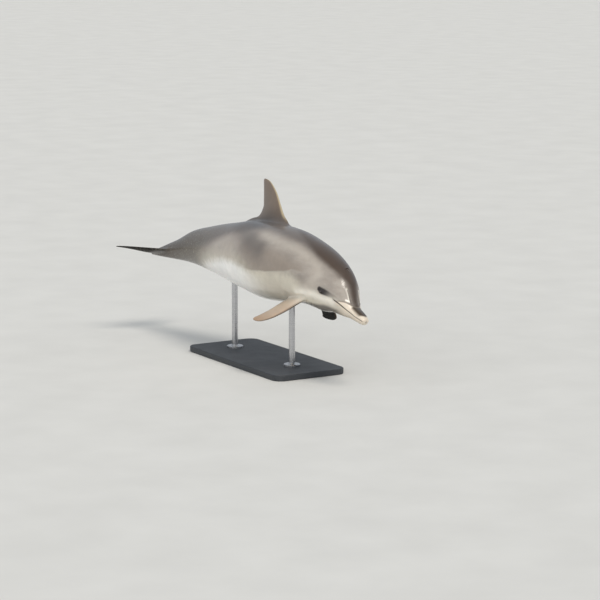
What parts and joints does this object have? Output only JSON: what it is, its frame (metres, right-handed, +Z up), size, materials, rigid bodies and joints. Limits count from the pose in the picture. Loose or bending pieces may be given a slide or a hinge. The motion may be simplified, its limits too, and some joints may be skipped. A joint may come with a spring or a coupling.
{
  "type": "bottlenose dolphin display model",
  "caption": "Life-size leaping bottlenose dolphin, body in named lengths with fins, flukes and eyes, held above a flat base by two rods.",
  "frame": {"origin": "on the floor, under the middle of the trunk and between the two rods", "axes": "+X the way the animal heads, +Y to its left, +Z up"},
  "size_m": [2.4381, 0.6762, 1.1357],
  "materials": {
    "skin": "wet, smooth skin: brown-grey cape, taupe flank, pale cream belly, dark flukes",
    "eye": "dark brown glass eye, polished",
    "base_plate": "matt charcoal powder coat",
    "rod": "brushed stainless steel"
  },
  "bodies": {
    "root": {"upper_beak": "skin", "lower_jaw": "skin", "melon": "skin", "head": "skin", "neck": "skin", "chest": "skin", "trunk_saddle": "skin", "trunk_loin": "skin", "tail_stock_front": "skin", "tail_stock_rear": "skin", "tail_root": "skin", "dorsal_fin": "skin", "flipper_left": "skin", "flipper_right": "skin", "fluke_left": "skin", "fluke_right": "skin", "eye_left": "eye", "eye_right": "eye", "stand_base": "base_plate", "stand_rod_front": "rod", "stand_rod_rear": "rod"}
  },
  "joints": []
}
